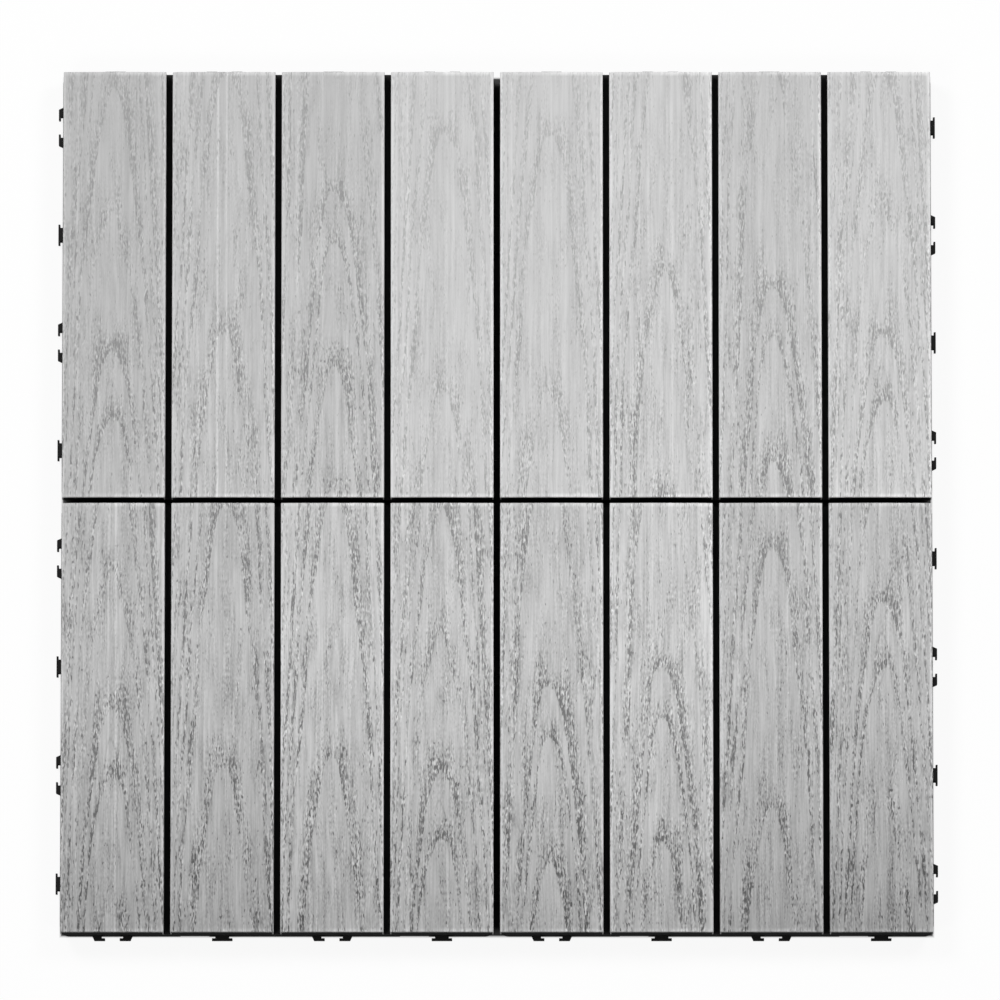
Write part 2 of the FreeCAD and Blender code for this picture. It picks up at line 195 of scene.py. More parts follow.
def mesh_of(shape, name):
    """Turn a bmesh into a mesh and free it."""
    mesh = bpy.data.meshes.new(name)
    shape.to_mesh(mesh)
    shape.free()
    return mesh


def add_object(name, data):
    """A new object of this data, in the scene."""
    added = bpy.data.objects.new(name, data)
    bpy.context.scene.collection.objects.link(added)
    return added


def verts_of(items):
    """The vertices among what a bmesh operator made."""
    return [item for item in items if isinstance(item, bmesh.types.BMVert)]


def boundary_edges(shape):
    """The edges of a bmesh that have only one face."""
    return [edge for edge in shape.edges if edge.is_boundary]


def soft_noise(across, along, cell_across, cell_along, seed):
    """Soft random values from -1 to 1 that change over one cell, given in the places' own unit."""
    generator = np.random.default_rng(seed)
    columns, rows = 257, 511
    lattice = generator.uniform(-1, 1, (columns, rows))
    u, v = across / cell_across, along / cell_along
    column, row = np.floor(u).astype(int), np.floor(v).astype(int)
    u, v = u - column, v - row
    u, v = u * u * (3 - 2 * u), v * v * (3 - 2 * v)

    def corner(step_u, step_v):
        return lattice[(column + step_u) % columns, (row + step_v) % rows]

    near = corner(0, 0) * (1 - u) + corner(1, 0) * u
    far = corner(0, 1) * (1 - u) + corner(1, 1) * u
    return near * (1 - v) + far * v


def rings_down_the_roll():
    """Every ring start for the roll and the turns before and after it, in order."""
    return np.array([start + turn * ROLL_LENGTH for turn in (-1, 0, 1, 2) for start in RING_STARTS], float)


def emboss_of_roll(across, down, heart):
    """The roll's pattern: how much each place belongs to a band and to a pore, and its fibres' drift."""
    centre = heart + 1.6 * soft_noise(0 * down, down, 1, 120, ROLL_SEED)
    offset = across - centre
    steepness = np.where(offset > 0, STEEP_RIGHT, STEEP_LEFT)
    warp = sum(
        height * soft_noise(across, down, width, length, ROLL_SEED + number)
        for number, (height, width, length) in enumerate(RING_WAVES, start=1)
    )
    phase = down - steepness * offset ** 2 + warp
    starts = rings_down_the_roll()
    ring = np.clip(np.searchsorted(starts, phase), 1, len(starts) - 1)
    before_start = starts[ring] - phase
    slope = np.sqrt(1 + (2 * steepness * offset) ** 2)
    reach = np.minimum(BAND_TOP_GAIN + BAND_WIDTH * slope, 0.6 * (starts[ring] - starts[ring - 1]))
    strength = np.random.default_rng(ROLL_SEED + 3).uniform(0.6, 1.0, len(starts))[ring]
    patches = np.clip(0.8 + 0.5 * soft_noise(across, down, 7, 38, ROLL_SEED + 4), 0, 1)
    entry = np.clip(before_start / slope / 0.5, 0, 1)
    band = entry * np.clip(1 - before_start / reach, 0, 1) ** 0.8 * strength * patches
    wobble = 1.2 * soft_noise(across, down, 9, 30, ROLL_SEED + 5)
    seeds = soft_noise(across + wobble, down, *PORE_CELL, ROLL_SEED + 6)
    pore = np.clip((seeds - PORE_LIMIT + PORE_LIMIT_DROP * band) / 0.35, 0, 1)
    steep = 2 * steepness * offset
    drift = warp * steep / (steep ** 2 + 25) + 0.9 * soft_noise(across, down, 11, 46, ROLL_SEED + 9)
    return band, np.maximum(pore, spikes_of_roll(down, offset, starts)), drift


def spikes_of_roll(down, offset, starts):
    """Thin pointed lines that stand above each arch of pores, near the heart."""
    wander = offset + 0.7 * soft_noise(offset, down, 4, 17, ROLL_SEED + 7)
    phase = down - SPIKE_STEEPNESS * np.abs(wander) ** SPIKE_POWER
    spike_starts = starts - SPIKE_HEIGHT
    nearest = np.clip(np.searchsorted(spike_starts, phase), 1, len(starts) - 1)
    gap = np.minimum(np.abs(spike_starts[nearest] - phase), np.abs(phase - spike_starts[nearest - 1]))
    slope = np.sqrt(1 + (SPIKE_POWER * SPIKE_STEEPNESS * np.abs(wander) ** (SPIKE_POWER - 1)) ** 2)
    line = np.clip(1.5 - gap / slope / SPIKE_HALF_WIDTH, 0, 1) * np.clip(2.2 - np.abs(offset) / 5, 0, 1)
    return line * np.clip(0.55 + 0.9 * soft_noise(offset, down, 5, 9, ROLL_SEED + 8), 0, 1)


def drawn_lines_and_painted_rim(across, along, seed):
    """The cap's straight pale and dark lines along the whole slat, its paler sides, and a painted highlight
    on its rim.
    """
    generator = np.random.default_rng(seed)
    tone = SIDE_PALER * np.clip((np.abs(across) - SIDE_FROM) / (SIDE_TO - SIDE_FROM), 0, 1)
    from_rim = np.minimum(SLAT_WIDTH / 2 / MM - np.abs(across), SLAT_LENGTH / 2 / MM - np.abs(along))
    from_rounding = from_rim - SLAT_EDGE_RADIUS / MM
    # A painted highlight along the rounded rim, stronger on the right
    tone = tone + RIM_PALER * (1 + RIM_RIGHT * np.sign(across)) * np.clip(1 - from_rounding / RIM_WIDTH, 0, 1)
    for place in LINE_PLACES:
        middle = place + generator.uniform(-LINE_SHIFT, LINE_SHIFT)
        half_width = generator.uniform(*LINE_HALF_WIDTHS)
        height = generator.choice((-1, 1)) * generator.uniform(*LINE_TONES)
        tone = tone + height * np.exp(-((across - middle) / half_width) ** 2)
    return tone


def slat_blank():
    """A slat one unit long, wide and high, its top at 0: fine faces on top, pilot holes in its foot."""
    blank = bmesh.new()
    bmesh.ops.create_grid(blank, x_segments=SLAT_COLUMNS, y_segments=SLAT_ROWS, size=0.5)
    lowered = bmesh.ops.extrude_edge_only(blank, edges=boundary_edges(blank))["geom"]
    bmesh.ops.transform(blank, verts=verts_of(lowered), matrix=Matrix.Translation((0, 0, -1)))
    for side in (-1, 1):
        hole = bmesh.ops.create_circle(blank, cap_ends=False, radius=1, segments=PILOT_SIDES)["verts"]
        place = Matrix.Translation((0, side * SCREW_ROW / SLAT_LENGTH, -1))
        size = Matrix.Diagonal((PILOT_RADIUS / SLAT_WIDTH, PILOT_RADIUS / SLAT_LENGTH, 1, 1))
        bmesh.ops.transform(blank, verts=hole, matrix=place @ size)
    loops = [edge for edge in blank.edges if edge.is_boundary or edge.is_wire]
    bmesh.ops.triangle_fill(blank, use_beauty=True, edges=loops, normal=(0, 0, -1))
    raised = bmesh.ops.extrude_edge_only(blank, edges=boundary_edges(blank))["geom"]
    depth = PILOT_DEPTH / (SLAT_TOP - SLAT_FOOT)
    bmesh.ops.transform(blank, verts=verts_of(raised), matrix=Matrix.Translation((0, 0, depth)))
    bmesh.ops.holes_fill(blank, edges=boundary_edges(blank), sides=PILOT_SIDES)
    bmesh.ops.recalc_face_normals(blank, faces=blank.faces)
    return mesh_of(blank, "slat_blank")


def spread_columns(unit):
    """Where columns at unit places from -0.5 to 0.5 stand across the slat, and their drop below its top."""
    number = np.abs(unit) * SLAT_COLUMNS
    from_edge = SLAT_COLUMNS / 2 - number
    turn = np.clip(1 - from_edge / EDGE_STEPS, 0, 1) * math.pi / 2
    flat_half = SLAT_WIDTH / 2 - SLAT_EDGE_RADIUS
    on_flat = number / (SLAT_COLUMNS / 2 - EDGE_STEPS) * flat_half
    rounded = from_edge < EDGE_STEPS
    x = np.where(rounded, flat_half + SLAT_EDGE_RADIUS * np.sin(turn), on_flat)
    crown_radius = ((SLAT_WIDTH / 2) ** 2 + SLAT_CROWN ** 2) / (2 * SLAT_CROWN)
    drop = np.minimum(x, flat_half) ** 2 / (2 * crown_radius) + SLAT_EDGE_RADIUS * (1 - np.cos(turn))
    return np.sign(unit) * x, drop


def spread_rows(unit):
    """Where rows at unit places from -0.5 to 0.5 stand along the slat, and their drop in the end bevels."""
    number = np.abs(unit) * SLAT_ROWS
    from_end = SLAT_ROWS / 2 - number
    steps = len(END_STEPS) - 1
    inner_half = SLAT_LENGTH / 2 - END_STEPS[-1] * MM
    inside = number / (SLAT_ROWS / 2 - steps) * inner_half
    near_end = SLAT_LENGTH / 2 - np.interp(from_end, range(len(END_STEPS)), END_STEPS) * MM
    y = np.where(from_end < steps, near_end, inside)
    drop = np.clip(SLAT_END_BEVEL - (SLAT_LENGTH / 2 - y), 0, None)
    return np.sign(unit) * y, drop


def shape_slat(mesh, middle, foot, top, roll_place, heart):
    """Shape and emboss a blank round its middle. Gives its top's vertices, their places and the pattern."""
    places = np.empty(len(mesh.vertices) * 3)
    mesh.vertices.foreach_get("co", places)
    places = places.reshape(-1, 3)
    on_top = places[:, 2] > -0.1
    x, column_drop = spread_columns(places[on_top, 0])
    y, row_drop = spread_rows(places[on_top, 1])
    across, down = x / MM, roll_place + (SLAT_LENGTH / 2 - y) / MM
    band, pore, drift = emboss_of_roll(across, down, heart)
    flat = np.clip((SLAT_WIDTH / 2 - SLAT_EDGE_RADIUS - np.abs(x)) / EMBOSS_FADE, 0, 1)
    carved = flat * (EMBOSS_BAND * band + EMBOSS_PORE * pore)

    middle_x, middle_y = middle
    shaped = np.empty_like(places)
    below = ~on_top
    shaped[on_top, 0] = middle_x + x
    shaped[on_top, 1] = middle_y + y
    shaped[on_top, 2] = top - column_drop - row_drop - carved
    # Below the top a vertex is on the foot's rim or, well inside it, on a pilot hole
    hole = below & (np.abs(places[:, 0]) < 0.25) & (np.abs(places[:, 1]) < 0.45)
    rim = below & ~hole
    shaped[rim, 0] = middle_x + spread_columns(places[rim, 0])[0]
    shaped[rim, 1] = middle_y + spread_rows(places[rim, 1])[0]
    shaped[hole, 0] = middle_x + places[hole, 0] * SLAT_WIDTH
    shaped[hole, 1] = middle_y + places[hole, 1] * SLAT_LENGTH
    shaped[below, 2] = top + places[below, 2] * (top - foot)
    mesh.vertices.foreach_set("co", shaped.ravel())
    return on_top, x, y, {"band_mark": band, "pore_mark": pore, "drift_mark": drift}


def slat_marks(node, middle, shade, strength, x, y, seed):
    """A slat's pale lines, grain strength, and brightness with painted shade and highlight, at x and y from
    its middle.
    """
    middle_x, middle_y = middle
    across = x / MM
    line_mask = np.zeros_like(x)
    for line in LINED_SLATS.get(node, ()):
        line_mask = np.maximum(line_mask, np.clip(1.6 - np.abs(across - line) / PAIR_HALF_WIDTH, 0, 1))
    towards_front = np.clip(0.5 - (middle_y + y) / (2 * MODULE), 0, 1)
    grain = strength * (GRAIN_AT_BACK + (GRAIN_AT_FRONT - GRAIN_AT_BACK) * towards_front)
    # Painted shade towards the front edge, where the light falls off, deepest at the right corner
    painted_front_shade = np.clip((DARK_FROM - middle_y - y) / (MODULE + DARK_FROM), 0, 1) ** DARK_POWER
    painted_front_shade = painted_front_shade * (1 + DARKER_RIGHT * max(middle_x, 0) / MODULE)
    tone = SHADES[shade] * (1 + drawn_lines_and_painted_rim(across, y / MM, seed)) * (1 - DARKER_BY * painted_front_shade)
    return {"line_mark": line_mask, "grain_mark": grain, "tone_and_painted_light_mark": tone}


def make_slat(blank, node, settings, seed):
    """One slat in its node's place: shaped, embossed, and marked for its material."""
    roll_place, shade, strength, heart = settings
    low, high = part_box(node)
    middle = (low.x + high.x) / 2, (low.y + high.y) / 2
    mesh = blank.copy()
    mesh.name = "board_" + node.removeprefix("slat_")
    on_top, x, y, marks = shape_slat(mesh, middle, low.z, high.z, roll_place, heart)
    marks.update(slat_marks(node, middle, shade, strength, x, y, seed))
    for name, values in marks.items():
        # Below its top a slat gets painted shade, darkest at its foot
        elsewhere = FOOT_SHADE * SHADES[shade] if name == "tone_and_painted_light_mark" else 0.0
        full = np.full(len(mesh.vertices), elsewhere, np.float32)
        full[on_top] = values
        mesh.attributes.new(name, "FLOAT", "POINT").data.foreach_set("value", full)
    mesh.update()

    slat = add_object(mesh.name, mesh)
    mesh.materials.append(slat_face)
    mesh.materials.append(slat_core)
    normals = np.empty(len(mesh.polygons) * 3)
    mesh.polygons.foreach_get("normal", normals)
    is_end = np.abs(normals.reshape(-1, 3)[:, 1]) > 0.9
    mesh.polygons.foreach_set("material_index", is_end.astype(np.int32))
    mesh.polygons.foreach_set("use_smooth", np.ones(len(mesh.polygons), bool))
    mesh.set_sharp_from_angle(angle=SMOOTH_BELOW)
    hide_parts(node)
    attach(slat, "root")


def nodes_of(material):
    """An empty node tree for a material, with its output."""
    material.use_nodes = True
    tree = material.node_tree
    tree.nodes.clear()
    return tree, tree.nodes.new("ShaderNodeOutputMaterial")


def math_node(tree, operation, first, second=0.0):
    """A Math node whose inputs are numbers or other nodes' outputs. Some operations use the first alone."""
    node = tree.nodes.new("ShaderNodeMath")
    node.operation = operation
    for socket, value in zip(node.inputs, (first, second)):
        if isinstance(value, bpy.types.NodeSocket):
            tree.links.new(value, socket)
        else:
            socket.default_value = value
    return node.outputs[0]


def remap(tree, value, low, high, to_low, to_high):
    """Stretch a value from one range to another, clamped."""
    node = tree.nodes.new("ShaderNodeMapRange")
    tree.links.new(value, node.inputs["Value"])
    for name, number in (("From Min", low), ("From Max", high), ("To Min", to_low), ("To Max", to_high)):
        node.inputs[name].default_value = number
    return node.outputs["Result"]


def swing(tree, streak, most):
    """A streak's value as a tone from -most to most."""
    return remap(tree, streak, 0.2, 0.8, -most, most)


def limited_sum(tree, parts, low, high):
    """The sum of several values, kept between two limits."""
    total = 0.0
    for part in parts:
        total = math_node(tree, "ADD", part, total)
    return remap(tree, total, low, high, low, high)


def new_group(name, inputs, outputs):
    """A shader node group with float inputs and outputs, and its inner input and output nodes."""
    group = bpy.data.node_groups.new(name, "ShaderNodeTree")
    for label, value in inputs:
        socket = group.interface.new_socket(name=label, in_out="INPUT", socket_type="NodeSocketFloat")
        socket.default_value = value
    for label in outputs:
        group.interface.new_socket(name=label, in_out="OUTPUT", socket_type="NodeSocketFloat")
    return group, group.nodes.new("NodeGroupInput"), group.nodes.new("NodeGroupOutput")


def axes_of(tree):
    """The X, Y and Z of a shaded point in metres."""
    places = tree.nodes.new("ShaderNodeTexCoord")
    split = tree.nodes.new("ShaderNodeSeparateXYZ")
    tree.links.new(places.outputs["Object"], split.inputs[0])
    return split.outputs


def make_streak_group():
    """Streaks along Y: width, length and sideways drift in millimetres, detail, and a shift of pattern."""
    sockets = (("Width", 1.0), ("Length", 30.0), ("Detail", 2.0), ("Shift", 0.0), ("Drift", 0.0))
    group, entry, exit_node = new_group("long_streaks", sockets, ("Value",))
    axes = axes_of(group)
    join = group.nodes.new("ShaderNodeCombineXYZ")
    for axis, size in (("X", "Width"), ("Y", "Length"), ("Z", "Width")):
        in_mm = math_node(group, "MULTIPLY", axes[axis], 1 / MM)
        if axis == "X":
            in_mm = math_node(group, "ADD", in_mm, entry.outputs["Drift"])
        scaled = math_node(group, "DIVIDE", in_mm, entry.outputs[size])
        shifted = math_node(group, "ADD", scaled, entry.outputs["Shift"])
        group.links.new(shifted, join.inputs[axis])
    noise = group.nodes.new("ShaderNodeTexNoise")
    noise.inputs["Scale"].default_value = 1.0
    noise.inputs["Roughness"].default_value = 0.6
    group.links.new(join.outputs[0], noise.inputs["Vector"])
    group.links.new(entry.outputs["Detail"], noise.inputs["Detail"])
    group.links.new(noise.outputs["Fac"], exit_node.inputs["Value"])
    return group


def streaks(tree, width, length, detail=2.0, shift=0.0, drift=None):
    """Place the streak group in a material with its own values, and let its streaks wander where asked."""
    node = tree.nodes.new("ShaderNodeGroup")
    node.node_tree = streak_group
    for name, value in (("Width", width), ("Length", length), ("Detail", detail), ("Shift", shift)):
        node.inputs[name].default_value = value
    if drift is not None:
        tree.links.new(drift, node.inputs["Drift"])
    return node.outputs["Value"]


def mark(tree, name):
    """A float attribute of the mesh."""
    node = tree.nodes.new("ShaderNodeAttribute")
    node.attribute_name = name
    return node.outputs["Fac"]


def in_view(tree, path):
    """1 for rays from the camera, through clear pieces too, and 0 for all others."""
    return math_node(tree, "MAXIMUM", path.outputs["Is Camera Ray"], path.outputs["Is Transmission Ray"])


def grey(tree, value):
    """A neutral colour from one value."""
    node = tree.nodes.new("ShaderNodeCombineColor")
    for socket in node.inputs[:3]:
        tree.links.new(value, socket)
    return node.outputs[0]


def bump(tree, height, distance):
    """A Bump node for a height, given as a share of a distance in metres."""
    node = tree.nodes.new("ShaderNodeBump")
    node.inputs["Strength"].default_value = 1.0
    node.inputs["Distance"].default_value = distance
    tree.links.new(height, node.inputs["Height"])
    return node.outputs["Normal"]


def finish_material(tree, output, colour, roughness, normal, **constants):
    """A Principled shader from a colour, a roughness and a normal, with its constant sockets set."""
    shader = tree.nodes.new("ShaderNodeBsdfPrincipled")
    for name, value in constants.items():
        shader.inputs[name.replace("_", " ")].default_value = value
    for name, source in (("Base Color", colour), ("Roughness", roughness), ("Normal", normal)):
        tree.links.new(source, shader.inputs[name])
    tree.links.new(shader.outputs[0], output.inputs["Surface"])


def make_slat_face():
    """The slat's capped face: matt grey composite with fine fibres, short pores with painted shade and
    highlights, and drawn lines.
    """
    material = bpy.data.materials.new("capped_composite_face")
    tree, output = nodes_of(material)
    drift = mark(tree, "drift_mark")
    values = {
        name: streaks(tree, *settings, None if name in STRAIGHT_STREAKS else drift)
        for name, settings in FACE_STREAKS.items()
    }
    band, pore, line = mark(tree, "band_mark"), mark(tree, "pore_mark"), mark(tree, "line_mark")
    in_cluster = remap(tree, values["cluster"], 0.3, 0.7, -SOONER_IN_CLUSTER, SOONER_IN_CLUSTER)
    in_band = math_node(tree, "ADD", math_node(tree, "MULTIPLY", band, SOONER_IN_BAND), in_cluster)

    # Streaks and grit stand out in the bands, and the ground between them stays calm
    fine_tone = swing(tree, values["fine"], FINE_TONE)
    soft_tone = swing(tree, values["soft"], SOFT_TONE)
    streak_share = remap(tree, in_band, -0.06, 0.16, 0.46, 1.25)
    streak_tone = math_node(tree, "MULTIPLY", math_node(tree, "ADD", fine_tone, soft_tone), streak_share)
    grit_share = remap(tree, in_band, -0.04, 0.18, 0.12, 1.4)
    grit_tone = swing(tree, values["grit"], GRIT_TONE)
    # Dashes are partly painted shade in the embossed hollows, and flecks painted highlights on their flanks
    dash = remap(tree, math_node(tree, "ADD", values["dash"], in_band), *DASH_LIMITS, 0.0, 1.0)
    fleck = remap(tree, math_node(tree, "ADD", values["fleck"], in_band), *FLANK_HIGHLIGHT_LIMITS, 0.0, 1.0)
    soft_parts = (
        streak_tone,
        math_node(tree, "MULTIPLY", grit_tone, grit_share),
        remap(tree, values["cluster"], 0.3, 0.7, CLUSTER_TONE, -CLUSTER_TONE),
        remap(tree, band, 0.0, 1.0, OFF_BAND_TONE, BAND_TONE),
        swing(tree, values["broad"], BROAD_TONE),
    )
    sharp_parts = (
        math_node(tree, "MULTIPLY", pore, PORE_TONE),
        math_node(tree, "MULTIPLY", dash, DASH_TONE),
        math_node(tree, "MULTIPLY", fleck, FLANK_HIGHLIGHT_TONE),
    )
    grain = limited_sum(tree, soft_parts, SOFT_DARKEST, SOFT_PALEST)
    grain = limited_sum(tree, (grain, *sharp_parts), GRAIN_DARKEST, GRAIN_PALEST)
    grain = math_node(tree, "ADD", math_node(tree, "MULTIPLY", grain, mark(tree, "grain_mark")), 1.0)
    value = math_node(tree, "MULTIPLY", mark(tree, "tone_and_painted_light_mark"), grain)
    value = math_node(tree, "MULTIPLY", value, remap(tree, values["mottle"], 0.25, 0.75, 0.975, 1.025))
    value = math_node(tree, "MULTIPLY", value, remap(tree, line, 0.0, 1.0, 1.0, PAIR_PALER))
    roughness = remap(tree, values["fine"], 0.2, 0.8, 0.58, 0.72)
    fibre_height = math_node(tree, "MULTIPLY", values["fine"], 0.35)
    height = math_node(tree, "SUBTRACT", fibre_height, math_node(tree, "MULTIPLY", dash, 0.8))
    finish_material(tree, output, grey(tree, value), roughness, bump(tree, height, 0.10 * MM))
    return material


def cap_mask(tree):
    """How much each place of a slat's cut end belongs to the cap along its sides and its crowned top."""
    axes = axes_of(tree)
    place = math_node(tree, "FRACT", math_node(tree, "DIVIDE", axes["X"], SLAT_PITCH))
    off_middle = math_node(tree, "ABSOLUTE", math_node(tree, "SUBTRACT", place, 0.5))
    share = math_node(tree, "MULTIPLY", off_middle, 2 * SLAT_PITCH / SLAT_WIDTH)
    cap_share = 2 * CAP_THICKNESS / SLAT_WIDTH
    side = remap(tree, share, 1 - 1.2 * cap_share, 1 - cap_share, 0.0, 1.0)
    crown = math_node(tree, "MULTIPLY", math_node(tree, "POWER", share, 2.0), SLAT_CROWN)
    height = math_node(tree, "ADD", axes["Z"], crown)
    core_top = SLAT_TOP - SLAT_END_BEVEL - CAP_THICKNESS
    roof = remap(tree, height, core_top - 0.2 * CAP_THICKNESS, core_top, 0.0, 1.0)
    return math_node(tree, "MAXIMUM", side, roof)


def make_slat_core():
    """The cut end of a slat: filled composite kept nearly black, pale flecked and rough, inside its thin pale
    cap.
    """
    material = bpy.data.materials.new("cut_composite_core")
    tree, output = nodes_of(material)
    flecks = streaks(tree, 0.5, 0.5, 2.0, 5.0)
    saw = streaks(tree, 0.35, 0.35, 0.0, 11.0)
    core_colour = remap(tree, flecks, 0.35, 0.75, 0.004, 0.014)
    cap_colour = remap(tree, flecks, 0.3, 0.7, 0.24, 0.34)
    colour = math_node(tree, "ADD", core_colour, math_node(tree, "MULTIPLY", cap_colour, cap_mask(tree)))
    roughness = remap(tree, flecks, 0.3, 0.7, 0.7, 0.85)
    height = math_node(tree, "ADD", flecks, saw)
    normal = bump(tree, height, 0.12 * MM)
    finish_material(tree, output, grey(tree, colour), roughness, normal, Specular_IOR_Level=0.15)
    return material


def make_base_black():
    """Black moulded plastic: a fine spark-eroded texture and faint flow streaks."""
    material = bpy.data.materials.new("black_moulded_base")
    tree, output = nodes_of(material)
    spark = streaks(tree, 0.45, 0.45, 2.0, 2.0)
    flow = streaks(tree, 9, 26, 2.0, 4.0)
    colour = remap(tree, flow, 0.3, 0.7, 0.0055, 0.0085)
    roughness = remap(tree, flow, 0.3, 0.7, 0.52, 0.64)
    normal = bump(tree, spark, 0.05 * MM)
    finish_material(tree, output, grey(tree, colour), roughness, normal, Specular_IOR_Level=0.25)
    return material


def make_screw_zinc():
    """Bright zinc on the screws, faintly clouded."""
    material = bpy.data.materials.new("zinc_screw")
    tree, output = nodes_of(material)
    cloud = streaks(tree, 1.1, 1.1, 3.0, 9.0)
    colour = remap(tree, cloud, 0.3, 0.7, 0.50, 0.62)
    roughness = remap(tree, cloud, 0.3, 0.7, 0.26, 0.40)
    finish_material(tree, output, grey(tree, colour), roughness, bump(tree, cloud, 0.03 * MM), Metallic=1.0)
    return material


# Screw form
HEAD_RADIUS = 3.8 * MM
HEAD_HEIGHT = 2.4 * MM
HEAD_FLAT = 0.6 * HEAD_RADIUS
HEAD_SIDES = 24
CORE_RADIUS = 1.25 * MM
POINT_HEIGHT = 2.2 * MM
POINT_RADIUS = 0.25 * MM
THREAD_RADIUS = 1.75 * MM
THREAD_PITCH = 1.4 * MM
THREAD_STEPS = 12
# The thread begins this far above the head and ends this far below the tip
THREAD_START = 3.8 * MM
THREAD_END = 2.6 * MM
# The cross recess: length and half width of an arm, depth, and how much narrower its floor is
RECESS_ARM = 2.1 * MM
RECESS_HALF = 0.45 * MM
RECESS_DEPTH = 1.2 * MM
RECESS_TAPER = 0.62
# Faces that meet at less than this angle are shaded smooth
SCREW_SMOOTH_BELOW = math.radians(35)
# The seed of the screws' random turns
SCREW_SEED = 7


def screw_mesh():
    """One pan-head screw, head down, with a cross recess and a thread; its tip points up."""
    screw = bmesh.new()
    length = SCREW_HIGH.z - SCREW_LOW.z
    rim = bmesh.ops.create_circle(screw, cap_ends=False, radius=HEAD_FLAT, segments=HEAD_SIDES)["verts"]
    corners = []
    for quarter in range(4):
        turn = Matrix.Rotation(quarter * math.pi / 2, 4, "Z")
        for x, y in ((RECESS_HALF, RECESS_HALF), (RECESS_ARM, RECESS_HALF), (RECESS_ARM, -RECESS_HALF)):
            corners.append(screw.verts.new(turn @ Vector((x, y, 0))))
    # A quarter gives an inner corner and the two at the end of one arm, and their bearings put them in order
    order = sorted(corners, key=lambda corner: math.atan2(corner.co.y, corner.co.x))
    cross = [screw.edges.new((order[number - 1], order[number])) for number in range(len(order))]
    rim_edges = list({edge for vert in rim for edge in vert.link_edges})
    bmesh.ops.triangle_fill(screw, use_beauty=True, edges=cross + rim_edges, normal=(0, 0, -1))
    floor_verts = verts_of(bmesh.ops.extrude_edge_only(screw, edges=cross)["geom"])
    taper = Matrix.Translation((0, 0, RECESS_DEPTH)) @ Matrix.Diagonal((RECESS_TAPER, RECESS_TAPER, 1, 1))
    bmesh.ops.transform(screw, verts=floor_verts, matrix=taper)
    floor_rim = [edge for edge in boundary_edges(screw) if all(vert in floor_verts for vert in edge.verts)]
    bmesh.ops.contextual_create(screw, geom=floor_rim)
    # Radius and height of each ring from the head's flat to the screw's point
    profile = (
        (0.86 * HEAD_RADIUS, 0.12 * HEAD_HEIGHT), (0.97 * HEAD_RADIUS, 0.36 * HEAD_HEIGHT),
        (HEAD_RADIUS, 0.62 * HEAD_HEIGHT), (HEAD_RADIUS, HEAD_HEIGHT), (CORE_RADIUS, HEAD_HEIGHT),
        (CORE_RADIUS, length - POINT_HEIGHT), (POINT_RADIUS, length),
    )
    loop = rim_edges
    radius, height = HEAD_FLAT, 0.0
    for next_radius, next_height in profile:
        made = bmesh.ops.extrude_edge_only(screw, edges=loop)["geom"]
        ring = verts_of(made)
        loop = [item for item in made if isinstance(item, bmesh.types.BMEdge)]
        loop = [edge for edge in loop if all(vert in ring for vert in edge.verts)]
        grow = Matrix.Diagonal((next_radius / radius, next_radius / radius, 1, 1))
        bmesh.ops.transform(screw, verts=ring, matrix=Matrix.Translation((0, 0, next_height - height)) @ grow)
        radius, height = next_radius, next_height
    bmesh.ops.contextual_create(screw, geom=loop)
    bmesh.ops.recalc_face_normals(screw, faces=screw.faces)

    thread_low = HEAD_HEIGHT + THREAD_START
    turns = int((length - THREAD_END - thread_low) / THREAD_PITCH)
    # A triangle with its foot sunk in the core, as wide as 0.7 of a turn
    triangle = ((0.8 * CORE_RADIUS, 0.0), (THREAD_RADIUS, 0.35), (0.8 * CORE_RADIUS, 0.7))
    section = [screw.verts.new((radius, 0, thread_low + share * THREAD_PITCH)) for radius, share in triangle]
    face = screw.faces.new(section)
    before = len(screw.faces)
    bmesh.ops.spin(
        screw, geom=[*section, *face.edges, face], cent=(0, 0, 0), axis=(0, 0, 1),
        dvec=(0, 0, THREAD_PITCH / THREAD_STEPS), angle=turns * 2 * math.pi, steps=turns * THREAD_STEPS,
        use_merge=False, use_normal_flip=False, use_duplicate=False,
    )
    screw.faces.ensure_lookup_table()
    bmesh.ops.recalc_face_normals(screw, faces=screw.faces[before - 1:])
    return mesh_of(screw, "screw")


def make_screws():
    """All screws of the tile in one piece, each turned a little differently."""
    one = screw_mesh()
    group = bmesh.new()
    generator = np.random.default_rng(SCREW_SEED)
    columns = round((SCREW_HIGH.x - SCREW_LOW.x) / SLAT_PITCH) + 1
    first_x = -(columns - 1) / 2 * SLAT_PITCH
    rows = [middle + side * SCREW_ROW for middle in (-MODULE / 2, MODULE / 2) for side in (-1, 1)]
    for column in range(columns):
        for y in rows:
            start = len(group.verts)
            group.from_mesh(one)
            group.verts.ensure_lookup_table()
            turn = Matrix.Rotation(generator.uniform(0, math.pi / 2), 4, "Z")
            place = Matrix.Translation((first_x + column * SLAT_PITCH, y, SCREW_LOW.z))
            bmesh.ops.transform(group, verts=group.verts[start:], matrix=place @ turn)
    mesh = mesh_of(group, "deck_screws")
    bpy.data.meshes.remove(one)
    mesh.materials.append(screw_zinc)
    mesh.polygons.foreach_set("use_smooth", np.ones(len(mesh.polygons), bool))
    mesh.set_sharp_from_angle(angle=SCREW_SMOOTH_BELOW)
    screws = add_object("deck_screws", mesh)
    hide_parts("slat_screws")
    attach(screws, "root")


# Rounding of a moulding's edges: its width, and the least angle and length of an edge that gets it
BASE_EDGE = 0.25 * MM
SHARP_FROM = math.radians(30)
SHORTEST_ROUNDED = 0.6 * MM
# Vertices closer than this are one, and faces that meet at less than this angle become one
JOIN_WITHIN = 0.002 * MM
FLAT_BELOW = math.radians(1)


